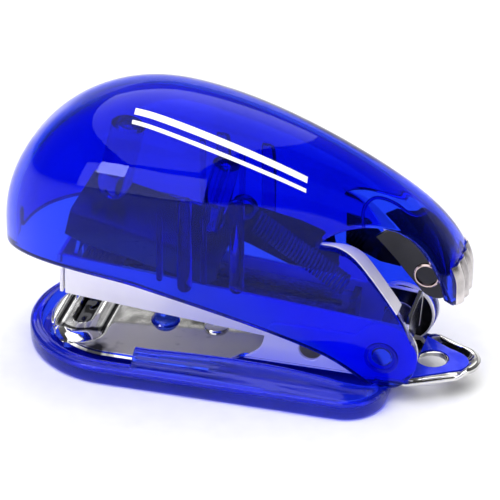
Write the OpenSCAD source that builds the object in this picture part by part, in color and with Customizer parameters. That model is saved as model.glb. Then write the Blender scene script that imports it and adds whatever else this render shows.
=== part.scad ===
// Mini stapler with a translucent moulded cover and base, and a sheet steel works.
// +X runs to the hinge end, the nose is at -X, and Z = 0 is the surface it stands on.
// The magazine and the cover both turn about the hinge pin, along Y.

/* [Hinge] */
// Distance of the hinge pin from the middle of the length
hinge_x = 21.8; // [21.4:0.1:22.2]
// Height of the hinge pin over the table
hinge_z = 7.2; // [7:0.1:7.4]
// Radius of the hinge pin
pin_r = 1.5; // [1.3:0.1:1.7]
// Nose-up angle of the magazine at rest, over its closed place
magazine_tilt = 4.5; // [4:0.1:5]
// Sliding clearance between steel sheets that turn past each other
sheet_gap = 0.1; // [0.08:0.01:0.12]

/* [Base] */
// Half of the width of the base tray
base_half_w = 14; // [13.6:0.1:14.4]
// Front end of the base tray
base_front_x = -31.2; // [-31.6:0.1:-30.8]
// Rear end of the base tray
base_rear_x = 22.8; // [22.5:0.1:23.2]
// Corner radius at the rear of the base tray
base_rear_r = 6; // [5:0.5:7]
// Wall thickness of the base tray
base_wall = 1.7; // [1.4:0.1:1.8]
// Height of the low rim round the front
rim_h = 3.3; // [3:0.1:3.6]
// Height of the raised side walls at their middle
side_h = 6.9; // [6.5:0.1:7]

/* [Base plate] */
// Thickness of the plated steel base plate
plate_t = 0.8; // [0.7:0.05:0.8]
// Height of the top face of the base plate
plate_z = 3.4; // [3.3:0.05:3.45]
// Half of the width of the base plate at the anvil
plate_half_w = 10.9; // [10.6:0.1:11.2]
// Distance of the anvil from the middle of the length
anvil_x = -23.8; // [-24:0.1:-23.6]
// Radius of the hole in the rear tab
tab_hole_r = 2; // [1.8:0.1:2.2]

/* [Magazine] */
// Width of the staples over their legs
staple_w = 8.4; // [8.2:0.1:8.5]
// Leg length of the staples
staple_leg = 5; // [4.6:0.1:5]
// Number of staples left in the strip
staple_count = 16; // [8:1:20]
// Thickness of the magazine sheet
mag_t = 0.6; // [0.5:0.05:0.6]
// Height of the magazine channel
mag_h = 6.6; // [6.4:0.1:6.8]

/* [Cover] */
// Length of the cover from its crown to its nose
nose_len = 23.5; // [23:0.1:24]
// Length of the cover from its crown to its tail
tail_len = 43.2; // [43:0.1:43.5]
// Height of the crown of the cover over the table
crown_z = 41.5; // [41:0.1:42]
// Half of the width of the cover at its crown
cover_half_w = 13.2; // [13:0.1:13.4]
// Half of the width of the cover arms at the hinge
arm_half_w = 7.5; // [7.4:0.05:7.6]
// Wall thickness of the cover
cover_wall = 1.6; // [1.5:0.05:1.65]
// Radius of the arm ends round the hinge
arm_r = 5; // [4.8:0.1:5]

/* [Hidden] */
$fn = 64;

// Colours of the moulded plastic and of the steels
blue = [0.05, 0.08, 0.75, 0.75];
plated = [0.82, 0.83, 0.85];
steel = [0.62, 0.63, 0.66];

// Every piece of the magazine is drawn closed, flat over the base, and then tipped up.
module tipped(angle) {
    translate([hinge_x, 0, hinge_z])
        rotate([0, angle, 0])
            translate([-hinge_x, 0, -hinge_z])
                children();
}

// A side profile, drawn in X and Z, given a thickness along Y from y0 to y1.
module side_sheet(y0, y1) {
    translate([0, y1, 0])
        rotate([90, 0, 0])
            linear_extrude(y1 - y0)
                children();
}

// The same side profile on both sides of the middle plane.
module both_sides(y0, y1) {
    side_sheet(y0, y1) children();
    side_sheet(-y1, -y0) children();
}

// A point on a cubic curve through its four control points.
function bezier(p, t) =
    pow(1 - t, 3) * p[0] + 3 * t * pow(1 - t, 2) * p[1]
    + 3 * t * t * (1 - t) * p[2] + pow(t, 3) * p[3];
function curve(p, steps = 16) = [for (i = [0:steps]) bezier(p, i / steps)];

// Faces of a closed tube made of n + 1 rings of points, each ring with the same count.
function tube_faces(n, count) = concat(
    [[for (j = [count - 1:-1:0]) j]],
    [
        for (i = [0:n - 1])
            for (j = [0:count - 1])
                let (k = (j + 1) % count, a = i * count, b = (i + 1) * count)
                each [[a + j, b + k, b + j], [a + j, a + k, b + k]]
    ],
    [[for (j = [0:count - 1]) n * count + j]]
);

// ---------------------------------------------------------------- base

base_front_cx = base_front_x + base_half_w;

// Plan of the tray, drawn in by inset on every side.
module tray_plan(inset) {
    half_w = base_half_w - inset;
    corner_r = base_rear_r - inset;
    translate([base_front_cx, 0])
        circle(half_w);
    translate([base_front_cx, -half_w])
        square([base_rear_x - inset - corner_r - base_front_cx, 2 * half_w]);
    translate([base_front_cx, -half_w + corner_r])
        square([base_rear_x - inset - base_front_cx, 2 * (half_w - corner_r)]);
    for (side = [-1, 1])
        translate([base_rear_x - inset - corner_r, side * (half_w - corner_r)])
            circle(corner_r);
}

// Side profile of the tray: a low rim in front, raised sides, and a low back.
step_x = -12.4;
back_h = 2;
module tray_profile() {
    polygon(concat(
        [[base_front_x - 1, 0], [base_front_x - 1, rim_h], [step_x - 2, rim_h]],
        curve([[step_x - 2, rim_h], [step_x, rim_h], [step_x, rim_h + 1], [step_x, side_h - 2]], 8),
        curve([[step_x, side_h - 2], [step_x, side_h - 0.8], [step_x + 1, side_h - 0.6],
            [step_x + 2.5, side_h - 0.5]], 8),
        curve([[step_x + 2.5, side_h - 0.5], [2, side_h + 0.3], [12, side_h], [19, 5.4]]),
        curve([[19, 5.4], [21.5, 4.8], [22.4, 4], [base_rear_x + 1, 3]], 8),
        [[base_rear_x + 1, 0]]
    ));
}

tray_floor = 1.2;
stud_x = -12.5;
stud_r = 1.2;
stud_head_r = 2.1;
stud_head_h = 1.5;
stud_dome_r = (pow(stud_head_r, 2) + pow(stud_head_h, 2)) / (2 * stud_head_h);
rivet_xs = [-4, 12];
rivet_r = 1;
module base_tray() {
    color(blue) {
        difference() {
            intersection() {
                linear_extrude(side_h + 1)
                    tray_plan(0);
                side_sheet(-base_half_w - 1, base_half_w + 1)
                    tray_profile();
            }
            translate([0, 0, tray_floor])
                linear_extrude(side_h + 1)
                    tray_plan(base_wall);
            // The back is low between the raised sides, to clear the cover arms and the tab
            translate([base_rear_x - base_rear_r, -8.4, back_h])
                cube([base_rear_r + 1, 16.8, side_h]);
            for (x = rivet_xs)
                translate([x, 0, -1])
                    cylinder(r = rivet_r, h = 5);
        }
        // Seats that carry the plate, the front stud and its formed head
        for (x = [-24, stud_x, 6, 18])
            translate([x, -4, tray_floor - 0.2])
                cube([2, 8, plate_z - plate_t - tray_floor + 0.2]);
        translate([stud_x + 1, 0, tray_floor])
            cylinder(r = stud_r, h = plate_z - tray_floor + 0.3);
        translate([stud_x + 1, 0, plate_z])
            intersection() {
                translate([0, 0, stud_head_h - stud_dome_r])
                    sphere(stud_dome_r);
                cylinder(r = stud_head_r + 1, h = stud_head_h + 1);
            }
    }
}

// Outline of the rear tab: straight sides drawn in from the neck to a round tip.
tab_tip_x = 34.4;
tab_r = 3.8;
tab_neck_x = 25.3;
tab_neck_half = 7;
tab_cx = tab_tip_x - tab_r;
// The side meets the tip's arc where it is tangent, at this angle from the tip's centre
tab_side_a = atan2(tab_neck_half, tab_neck_x - tab_cx)
    - acos(tab_r / norm([tab_cx - tab_neck_x, tab_neck_half]));
function tab_tip(inset, steps = 16) = [
    for (i = [0:steps])
        let (a = tab_side_a * (2 * i / steps - 1))
        [tab_cx, 0] + (tab_r - inset) * [cos(a), sin(a)]
];
module tab_plan(inset) {
    half = tab_neck_half - inset;
    polygon(concat([[tab_neck_x - 2, -half], [tab_neck_x, -half]], tab_tip(inset),
        [[tab_neck_x, half], [tab_neck_x - 2, half]]));
}

// Plan of the plate: round at the anvil, narrow between the ears, then the rear tab.
ear_in = staple_w / 2 + 0.15 + mag_t + sheet_gap;
ear_t = 0.7;
ear_out = ear_in + ear_t;
flange_x = 0.4;
module plate_plan() {
    translate([base_front_cx, 0])
        circle(plate_half_w);
    translate([base_front_cx, -plate_half_w])
        square([flange_x - 3 - base_front_cx, 2 * plate_half_w]);
    polygon([[flange_x - 3, plate_half_w], [flange_x + 1, ear_out], [flange_x + 1, -ear_out],
        [flange_x - 3, -plate_half_w]]);
    translate([0, -ear_out])
        square([tab_neck_x, 2 * ear_out]);
    intersection() {
        tab_plan(0);
        translate([tab_neck_x - 0.01, -tab_neck_half - 1])
            square([20, 2 * tab_neck_half + 2]);
    }
}

// Side profile of an ear: it sweeps up from the plate and ends round the hinge pin.
ear_top = 9.6;
ear_r = 4.8;
module ear_profile() {
    difference() {
        union() {
            polygon(concat(
                curve([[flange_x, plate_z - plate_t], [3.6, plate_z], [4.4, 5], [4.6, 7.4]], 10),
                curve([[4.6, 7.4], [4.8, 8.8], [5.4, ear_top], [7, ear_top]], 8),
                [[hinge_x - 4, ear_top], [hinge_x - 2, hinge_z + 4.2], [hinge_x, hinge_z + ear_r],
                    [hinge_x, plate_z - plate_t]]
            ));
            translate([hinge_x, hinge_z])
                circle(ear_r);
        }
        translate([hinge_x, hinge_z])
            circle(pin_r + 0.05);
        translate([11.2, 5.6])
            circle(1.65);
        translate([0, -10 + plate_z])
            square([60, 10]);
    }
}

anvil_r = 4.6;
anvil_h = 1.1;
pocket_depth = 0.7;
groove_w = 1;
module base_plate() {
    color(plated) {
        difference() {
            union() {
                translate([0, 0, plate_z - plate_t])
                    linear_extrude(plate_t)
                        plate_plan();
                // Pressed oval that carries the anvil, with a round rib behind it
                translate([anvil_x, 0, plate_z - plate_t])
                    cylinder(r = anvil_r, h = plate_t + anvil_h);
                // Raised rim round the tip of the tab
                translate([0, 0, plate_z - plate_t])
                    linear_extrude(plate_t + 0.5)
                        difference() {
                            tab_plan(0);
                            tab_plan(0.8);
                            translate([0, -20])
                                square([tab_cx - 2, 40]);
                        }
            }
            // Hole in the tab
            translate([tab_neck_x + 2.3, 0, 0])
                cylinder(r = tab_hole_r, h = 10);
            // Holes for the stud and the rivets
            translate([stud_x + 1, 0, 0])
                cylinder(r = stud_r + 0.05, h = 5);
            for (x = rivet_xs)
                translate([x, 0, 0])
                    cylinder(r = rivet_r + 0.03, h = 5);
            // The two pockets that curl the staple legs
            for (side = [-1, 1])
                translate([anvil_x, side * 2.2, plate_z + anvil_h + 1.6 - pocket_depth])
                    rotate([90, 0, 0])
                        cylinder(r = 1.6, h = 3.6, center = true);
            // Groove pressed round the anvil
            translate([anvil_x, 0, plate_z - 0.35])
                difference() {
                    cylinder(r = anvil_r + 0.6 + groove_w, h = 0.5);
                    cylinder(r = anvil_r + 0.6, h = 0.5);
                }
        }
    }
}

// The two upright ears at the rear of the plate, which carry the hinge pin.
module hinge_ears() {
    color(plated)
        both_sides(ear_in, ear_out)
            ear_profile();
}

// Rivets that hold the plate down on the tray.
module base_rivets() {
    color(plated)
        for (x = rivet_xs)
            translate([x, 0, 0]) {
                translate([0, 0, 0.3])
                    cylinder(r = rivet_r - 0.03, h = plate_z - 0.3);
                translate([0, 0, plate_z])
                    cylinder(r = 1.8, h = 0.5);
            }
}

// ---------------------------------------------------------------- hinge

pin_half = arm_half_w - 0.5;
module hinge_pin() {
    color(plated)
        translate([hinge_x, 0, hinge_z])
            rotate([90, 0, 0])
                cylinder(r = pin_r, h = 2 * pin_half, center = true);
}

sleeve_r = 2.05;
mag_out = staple_w / 2 + 0.15 + mag_t;
mag_in = mag_out - mag_t;
// Spacer on the pin that keeps the side plates of the magazine apart.
module hinge_sleeve() {
    color(steel)
        translate([hinge_x, 0, hinge_z])
            rotate([90, 0, 0])
                difference() {
                    cylinder(r = sleeve_r, h = 2 * mag_in - 0.1, center = true);
                    cylinder(r = pin_r + 0.06, h = 20, center = true);
                }
}

// ---------------------------------------------------------------- magazine

mag_z = 5;
mag_front_x = -25.4;
mag_back_x = 24.7;
slot_x = -23.2;
pin_hole_r = pin_r + 0.06;
module mag_profile() {
    difference() {
        union() {
            polygon([[mag_front_x + 0.5, mag_z], [mag_front_x, mag_z + mag_h],
                [hinge_x, mag_z + mag_h], [mag_back_x, mag_z + mag_h],
                [mag_back_x, mag_z + 1], [mag_back_x - 1, mag_z]]);
        }
        translate([hinge_x, hinge_z])
            circle(pin_hole_r);
    }
}

module magazine() {
    color(plated)
        tipped(magazine_tilt) {
            both_sides(mag_in, mag_out)
                mag_profile();
            // Floor, open under the driver slot
            translate([slot_x, -mag_out, mag_z])
                cube([mag_back_x - 5.2 - slot_x, 2 * mag_out, mag_t]);
            // Front face, leaning with the side plates
            side_sheet(-mag_out, mag_out)
                polygon([[mag_front_x + 0.5, mag_z], [mag_front_x, mag_z + mag_h],
                    [mag_front_x + mag_t, mag_z + mag_h], [mag_front_x + 0.5 + mag_t, mag_z]]);
        }
}

back_plate_top = 12.4;
module magazine_back_plate() {
    color(steel)
        tipped(magazine_tilt)
            translate([mag_back_x - 0.6, -mag_in + 0.05, mag_z + 1.2])
                cube([0.6, 2 * mag_in - 0.1, back_plate_top - mag_z - 1.2]);
}

// Upside-down channel that the staples straddle, slotted along its top for the pusher.
rail_w = 7.2;
rail_top = 10.3;
rail_t = 0.5;
rail_back_x = 15.2;
rail_slot_w = 1.6;
module staple_rail() {
    floor_z = mag_z + mag_t;
    color(steel)
        tipped(magazine_tilt)
            difference() {
                translate([slot_x, -rail_w / 2, floor_z])
                    cube([rail_back_x - slot_x, rail_w, rail_top - floor_z]);
                translate([slot_x - 1, -rail_w / 2 + rail_t, mag_z])
                    cube([rail_back_x - slot_x + 2, rail_w - 2 * rail_t, rail_top - rail_t - mag_z]);
                translate([slot_x + 2, -rail_slot_w / 2, floor_z])
                    cube([rail_back_x - slot_x - 3, rail_slot_w, rail_top]);
            }
}

// Upright bracket that holds the rear end of the guide rod and the foot of the lifting spring.
rod_z = 7.9;
rod_r = 0.6;
bracket_x = 16;
bracket_top = 12.4;
module rod_bracket() {
    color(steel)
        tipped(magazine_tilt)
            difference() {
                translate([bracket_x - 0.5, -1.8, mag_z + mag_t])
                    cube([1, 3.6, bracket_top - mag_z - mag_t]);
                translate([bracket_x - 1, 0, rod_z])
                    rotate([0, 90, 0])
                        cylinder(r = rod_r + 0.02, h = 3);
            }
}

// Strap across the magazine that the return spring stands on.
return_x = -13.6;
seat_len = 6;
module spring_seat() {
    color(steel)
        tipped(magazine_tilt)
            translate([return_x - seat_len / 2, -mag_out, mag_z + mag_h])
                cube([seat_len, 2 * mag_out, 0.4]);
}

wire_w = 0.5;
wire_t = 0.5;
strip_x = slot_x + 0.1;
module staple_strip() {
    color(steel)
        tipped(magazine_tilt)
            for (i = [0:staple_count - 1])
                translate([strip_x + i * wire_w, 0, 0]) {
                    translate([0, -staple_w / 2, rail_top + 0.05])
                        cube([wire_w - 0.04, staple_w, wire_t]);
                    for (side = [-1, 1])
                        translate([0, side * (staple_w / 2 - wire_t / 2) - wire_t / 2,
                            rail_top + 0.05 + wire_t - staple_leg])
                            cube([wire_w - 0.04, wire_t, staple_leg]);
                }
}

pusher_x = strip_x + staple_count * wire_w + 0.05;
pusher_len = 6;
// A saddle over the rail, joined by a neck through the slot to a block that slides on the rod.
module staple_pusher() {
    saddle_z = mag_z + mag_t + 0.3;
    block_w = rail_w - 2 * rail_t - 0.4;
    color(blue)
        tipped(magazine_tilt)
            translate([pusher_x, 0, 0])
                difference() {
                    union() {
                        difference() {
                            translate([0, -staple_w / 2, saddle_z])
                                cube([pusher_len, staple_w, rail_top + 0.65 - saddle_z]);
                            translate([-1, -rail_w / 2 - 0.08, mag_z])
                                cube([pusher_len + 2, rail_w + 0.16, rail_top + 0.1 - mag_z]);
                        }
                        translate([0.5, -rail_slot_w / 2 + 0.1, rod_z])
                            cube([pusher_len - 1, rail_slot_w - 0.2, rail_top + 0.3 - rod_z]);
                        translate([0.5, -block_w / 2, saddle_z])
                            cube([pusher_len - 1, block_w, rail_top - rail_t - 0.2 - saddle_z]);
                    }
                    translate([-1, 0, rod_z])
                        rotate([0, 90, 0])
                            cylinder(r = rod_r + 0.08, h = pusher_len + 2);
                }
}

rod_x0 = slot_x + 0.3;
rod_x1 = bracket_x + 1.2;
module pusher_rod() {
    color(plated)
        tipped(magazine_tilt)
            translate([rod_x0, 0, rod_z])
                rotate([0, 90, 0])
                    cylinder(r = rod_r, h = rod_x1 - rod_x0);
}

// A closely wound wire: a round section swept along a helix, as one closed surface.
function helix_point(r0, r1, len, turns, t) =
    let (r = r0 + (r1 - r0) * t, a = 360 * turns * t)
    [t * len, r * cos(a), r * sin(a)];
module coil(r0, r1, wire_r, len, turns, per_turn = 8, sides = 4) {
    n = turns * per_turn;
    points = [
        for (i = [0:n])
            let (
                a = 360 * i / per_turn,
                c = helix_point(r0, r1, len, turns, i / n)
            )
            for (j = [0:sides - 1])
                let (b = 360 * j / sides)
                c + wire_r * (cos(b) * [0, cos(a), sin(a)] + sin(b) * [1, 0, 0])
    ];
    polyhedron(points, tube_faces(n, sides));
}

pusher_spring_r = 1.2;
module pusher_spring() {
    spring_x = pusher_x + pusher_len - 0.2;
    color(steel)
        tipped(magazine_tilt)
            translate([spring_x, 0, rod_z])
                coil(pusher_spring_r, pusher_spring_r, 0.22, bracket_x - 0.8 - spring_x, 20);
}

// ---------------------------------------------------------------- cover

crown_x = -11;
spring_z = 18;
section_pow = 2.5;
tail_pow = 1.7;
plan_pow = 2.2;
tail_plan_pow = 2.7;
tail_round = 8.8;

// Height of the ridge over the level where the walls turn straight, at a place x.
function ridge(x, inset) =
    x < crown_x
    ? (crown_z - spring_z - inset) * sqrt(max(0, 1 - pow((crown_x - x) / (nose_len - inset), 2)))
    : (crown_z - spring_z - inset)
        * pow(max(0, 1 - pow((x - crown_x) / (tail_len - inset), tail_pow)), 1 / tail_pow);

// Half of the width at a place x: full at the crown, drawn in to the arms, round at both ends.
function taper(t) = t <= 0 ? 0 : t >= 1 ? 1 : t * t * (3 - 2 * t);
function half_width(x, inset) =
    let (
        tail_start = crown_x + tail_len - tail_round,
        body = cover_half_w - (cover_half_w - arm_half_w) * taper((x - crown_x) / (hinge_x - 1 - crown_x)),
        front = x < crown_x
            ? pow(max(0, 1 - pow((crown_x - x) / (nose_len - inset), plan_pow)), 1 / plan_pow) : 1,
        rear = x > tail_start
            ? pow(max(0, 1 - pow((x - tail_start) / (tail_round - inset), tail_plan_pow)),
                1 / tail_plan_pow)
            : 1
    )
    (body - inset) * front * rear;

// One cross-section of the cover, from the near foot over the ridge to the far foot.
function cover_section(x, inset, foot_z, steps) =
    let (w = half_width(x, inset), h = ridge(x, inset))
    concat(
        [[x, -w, foot_z]],
        [
            for (i = [0:steps])
                let (a = 180 * i / steps, c = cos(a), s = sin(a))
                [x, -w * sign(c) * pow(abs(c), 2 / section_pow), spring_z + h * pow(s, 2 / section_pow)]
        ],
        [[x, w, foot_z]]
    );

// A closed solid lofted through the cross-sections, its flat underside at foot_z.
cover_stations = 26;
cover_steps = 16;
module cover_loft(inset, foot_z) {
    nose = crown_x - nose_len + inset + 0.12;
    tail = crown_x + tail_len - inset - 0.12;
    places = [
        for (i = [0:cover_stations])
            let (t = i / cover_stations)
            (nose + tail) / 2 - (tail - nose) / 2 * cos(180 * t)
    ];
    points = [for (x = places) each cover_section(x, inset, foot_z, cover_steps)];
    ring = cover_steps + 3;
    polyhedron(points, tube_faces(cover_stations, ring));
}

// Side outline of the cover: the lower edge, the arm round the hinge, and the tail opening.
module cover_outline() {
    tail_x = crown_x + tail_len;
    nose_x = crown_x - nose_len;
    difference() {
        union() {
            polygon(concat(
                [[nose_x - 1, 60], [nose_x - 1, 15.3], [nose_x, 15.4]],
                curve([[nose_x, 15.4], [nose_x + 3, 17.1], [-20, 17.6], [-13.6, 16.8]], 12),
                curve([[-13.6, 16.8], [-5, 15.6], [5, 10.8], [11, 8]], 12),
                curve([[11, 8], [14, 6.6], [16, 5.4], [hinge_x - 2.3, hinge_z - arm_r + 0.55]], 8),
                [[hinge_x, hinge_z], [tail_x + 1, hinge_z], [tail_x + 1, 60]]
            ));
            translate([hinge_x, hinge_z])
                circle(arm_r);
        }
        // Opening between the arms and the tail
        difference() {
            polygon(concat(
                [[12.8, 24.4]],
                curve([[12.8, 24.4], [14.5, 26.4], [18, 27.4], [21, 27.2]], 8),
                curve([[21, 27.2], [26.5, 26.8], [29.6, 22.5], [31, 15.6]], 12),
                [[tail_x + 2, 15.6], [tail_x + 2, hinge_z - 10], [hinge_x, hinge_z - 10],
                    [hinge_x, hinge_z]],
                [[24.4, 13.6], [20.7, 18.7], [17.4, 22.8]],
                curve([[17.4, 22.8], [16.4, 23.9], [14.5, 24.3], [12.8, 24.4]], 6)
            ));
            translate([hinge_x, hinge_z])
                circle(arm_r);
            polygon([[hinge_x - 3, hinge_z], [hinge_x + 4.7, hinge_z + 1.7], [24.4, 13.6], [20, 14]]);
        }
    }
}

post_r = 1.05;
post_x = [-5.7, 1.3];
frame_z = mag_z + mag_h + 1;
frame_t = 0.7;
cover_stroke = 8;
cover_tilt = magazine_tilt + cover_stroke;
screw_xs = [-21.6, -7];
screw_post_r = 1.9;
module cover_shell() {
    color(blue)
        difference() {
            intersection() {
                cover_loft(0, 0);
                side_sheet(-cover_half_w - 1, cover_half_w + 1)
                    cover_outline();
            }
            difference() {
                cover_loft(cover_wall, -1);
                // Ribs down the inside of the walls
                for (x = post_x, side = [-1, 1])
                    translate([x, side * (half_width(x, 0) - cover_wall - 0.6), 16])
                        cylinder(r = post_r, h = 14);
                // Posts that take the screws, square to the driver frame
                tipped(cover_tilt)
                    for (x = screw_xs)
                        translate([x, 0, frame_z + frame_t])
                            cylinder(r = screw_post_r, h = 30);
            }
            // Blind bores for the ends of the hinge pin
            translate([hinge_x, 0, hinge_z])
                rotate([90, 0, 0])
                    cylinder(r = pin_r + 0.05, h = 2 * pin_half + 0.1, center = true);
            // Room inside the arm ends for the ears and the plate
            translate([hinge_x, 0, hinge_z])
                rotate([90, 0, 0])
                    cylinder(r = arm_r + 0.4, h = 2 * ear_out + 0.24, center = true);
            // Pilot holes for the screws
            tipped(cover_tilt)
                for (x = screw_xs)
                    translate([x, 0, frame_z])
                        cylinder(r = screw_r + 0.05, h = 6);
        }
}

// Upside-down channel in the cover that straddles the magazine and carries the driver blade.
frame_in = mag_out + 0.25;
frame_out = frame_in + frame_t;
frame_front_x = -25.8;
frame_rear_x = -3.4;
module frame_profile() {
    polygon(concat(
        [[frame_front_x, frame_z + frame_t], [frame_front_x, frame_z - 3.4]],
        curve([[-24, frame_z - 3.8], [-19, frame_z - 4.4], [-18, frame_z - 3.6], [-13, frame_z - 4]], 8),
        [[frame_rear_x - 1.6, frame_z - 4], [frame_rear_x, frame_z - 2.4],
            [frame_rear_x, frame_z + frame_t]]
    ));
}

module driver_frame() {
    color(steel)
        tipped(cover_tilt)
            difference() {
                union() {
                    both_sides(frame_in, frame_out)
                        frame_profile();
                    translate([frame_front_x, -frame_out, frame_z])
                        cube([frame_rear_x - frame_front_x, 2 * frame_out, frame_t]);
                }
                for (x = screw_xs)
                    translate([x, 0, frame_z - 1])
                        cylinder(r = screw_r + 0.1, h = 4);
            }
}

// Blade that drives one staple down the slot, with a foot held under the frame by a screw.
blade_x = -24.15;
blade_w = 8.2;
blade_t = 0.5;
blade_foot = 5;
module driver_blade() {
    color(plated)
        tipped(cover_tilt)
            difference() {
                union() {
                    translate([blade_x, -blade_w / 2, mag_z + 0.3])
                        cube([blade_t, blade_w, frame_z - mag_z - 0.3]);
                    translate([blade_x, -blade_w / 2, frame_z - blade_t])
                        cube([blade_foot, blade_w, blade_t]);
                }
                translate([screw_xs[0], 0, mag_z])
                    cylinder(r = screw_r + 0.1, h = 20);
            }
}

screw_r = 0.8;
screw_head_r = 1.6;
screw_head_h = 0.9;
module cover_screws() {
    seat_z = [frame_z - blade_t, frame_z];
    color(plated)
        tipped(cover_tilt)
            for (i = [0:1])
                translate([screw_xs[i], 0, seat_z[i]]) {
                    translate([0, 0, -screw_head_h])
                        cylinder(r = screw_head_r, h = screw_head_h);
                    translate([0, 0, -0.2])
                        cylinder(r = screw_r, h = 5.5);
                }
}

// Plated channel that lines the tail of the cover, notched for the eyelet.
tail_frame_half = 3.5;
tail_frame_t = 0.7;
eyelet_x = 26.4;
eyelet_z = 19.4;
eyelet_r = 2;
module tail_frame() {
    outer = curve([[25.9, 24.6], [28.4, 22.6], [29.5, 19.6], [29.9, 16.4]], 10);
    color(plated)
        difference() {
            union() {
                side_sheet(-tail_frame_half, tail_frame_half)
                    polygon(concat(outer, [for (i = [10:-1:0]) outer[i] - [tail_frame_t, 0.25]]));
                both_sides(tail_frame_half - tail_frame_t, tail_frame_half)
                    polygon(concat(
                        outer,
                        curve([[29.9, 16.4], [29.5, 15.3], [27.2, 15.4], [26.2, 16.8]], 6),
                        [[28, 22]]
                    ));
            }
            translate([eyelet_x, 0, eyelet_z])
                rotate([90, 0, 0])
                    cylinder(r = eyelet_r + 0.03, h = 20, center = true);
        }
}

module tail_eyelet() {
    color(plated)
        translate([eyelet_x, 0, eyelet_z])
            rotate([90, 0, 0])
                difference() {
                    cylinder(r = eyelet_r, h = 2 * tail_frame_half + 0.6, center = true);
                    cylinder(r = eyelet_r - 0.3, h = 20, center = true);
                }
}

hook_x = 0.1;
hook_z = 24;
module spring_hook() {
    color(steel)
        translate([hook_x, 0, hook_z])
            rotate([90, 0, 0])
                rotate_extrude(angle = 300, $fn = 48)
                    translate([1.6, 0])
                        circle(0.4, $fn = 16);
}

lift_start = [1.7, 22.1];
lift_end = [15.6, 13.6];
module lifting_spring() {
    run = lift_end - lift_start;
    color(steel)
        translate([lift_start[0], 0, lift_start[1]])
            rotate([0, atan2(-run[1], run[0]), 0])
                coil(1.3, 1.3, 0.3, norm(run), 16);
}

// Cone-shaped, so that it presses flat between the seat and the frame.
return_len = 4.7;
module return_spring() {
    color(steel)
        tipped(magazine_tilt)
            translate([return_x, 0, mag_z + mag_h + 0.7])
                rotate([0, -90, 0])
                    coil(2.6, 1.3, 0.25, return_len - 0.5, 6, 12);
}

base_tray();
base_plate();
hinge_ears();
base_rivets();
hinge_pin();
hinge_sleeve();
magazine();
magazine_back_plate();
staple_rail();
rod_bracket();
spring_seat();
staple_strip();
staple_pusher();
pusher_rod();
pusher_spring();
cover_shell();
driver_frame();
driver_blade();
cover_screws();
tail_frame();
tail_eyelet();
spring_hook();
lifting_spring();
return_spring();
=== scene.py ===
import math

import bmesh
import bpy
from mathutils import Matrix, Vector


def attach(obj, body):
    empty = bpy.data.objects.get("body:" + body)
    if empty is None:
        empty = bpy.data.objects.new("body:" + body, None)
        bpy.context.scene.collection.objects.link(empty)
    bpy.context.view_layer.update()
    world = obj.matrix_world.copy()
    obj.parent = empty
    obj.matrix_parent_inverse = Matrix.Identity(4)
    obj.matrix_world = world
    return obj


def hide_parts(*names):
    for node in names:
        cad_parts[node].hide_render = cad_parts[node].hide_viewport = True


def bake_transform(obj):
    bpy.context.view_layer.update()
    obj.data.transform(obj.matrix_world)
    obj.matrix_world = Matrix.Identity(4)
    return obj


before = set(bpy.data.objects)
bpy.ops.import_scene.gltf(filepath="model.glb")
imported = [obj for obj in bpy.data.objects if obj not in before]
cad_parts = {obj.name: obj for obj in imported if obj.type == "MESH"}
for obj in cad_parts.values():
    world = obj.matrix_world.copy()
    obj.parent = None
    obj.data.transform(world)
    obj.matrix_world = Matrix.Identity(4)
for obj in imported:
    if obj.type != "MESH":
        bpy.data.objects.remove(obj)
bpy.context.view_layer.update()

SCENE = bpy.context.scene
MM = 0.001

# ------------------------------------------------------------ sizes of the CAD model, in mm
HINGE = (21.8, 7.2)
MAGAZINE_TILT = 4.5
COVER_TILT = 12.5
CROWN_X, NOSE_LEN, TAIL_LEN, CROWN_Z, SPRING_Z = -11.0, 23.5, 43.2, 41.43, 18.0
COVER_HALF, ARM_HALF, WALL = 13.2, 7.5, 1.6
TAIL_ROUND, TAIL_POW = 8.8, 2.7
ROOF_POW, NOSE_POW = 1.7, 2.2
SECTION_POW = 0.8  # how square the cover's section is
NOSE_X, TAIL_X = CROWN_X - NOSE_LEN, CROWN_X + TAIL_LEN
PLATE_Z, PLATE_T = 3.4, 0.8
ANVIL_X, POCKET_Y = -23.0, 2.3
PLATE_HALF, NECK_HALF = 10.9, 5.75
TRAY_NOSE_X, TRAY_HALF, TRAY_REAR, TRAY_CORNER = -17.2, 14.0, 22.8, 6.0
RIM_Z, BACK_Z = 3.3, 2.0  # top of the tray's low rim, and of its open back
PIN_HOLE_R = 1.56
EAR_Y, EAR_T = 5.4, 0.65
SIDE_PLATE_Y, SHEET_T = 4.65, 0.6
TAB_HOLE, TAB_HOLE_R = (27.6, 0.0), 2.0
LIFT_FOOT, LIFT_TOP = (15.0, 0, 13.8), (1.7, 0, 22.1)
CONE_X, CONE_FOOT_Z, CONE_TOP_Z = -13.6, 12.35, 17.2
ROD_Z, ROD_FRONT_X, ROD_REAR_X = 7.9, -9.0, 15.0
EYELET = (27.1, 19.2)


# ------------------------------------------------------------ materials
def new_material(name):
    mat = bpy.data.materials.new(name)
    mat.use_nodes = True
    nodes = mat.node_tree.nodes
    nodes.clear()
    out = nodes.new("ShaderNodeOutputMaterial")
    shader = nodes.new("ShaderNodeBsdfPrincipled")
    mat.node_tree.links.new(shader.outputs[0], out.inputs["Surface"])
    return mat, shader, out


def add(mat, kind, **values):
    node = mat.node_tree.nodes.new("ShaderNode" + kind)
    for key, value in values.items():
        if key in node.inputs:
            node.inputs[key].default_value = value
        else:
            setattr(node, key.lower(), value)
    return node


def link(mat, a, b):
    mat.node_tree.links.new(a, b)


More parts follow.
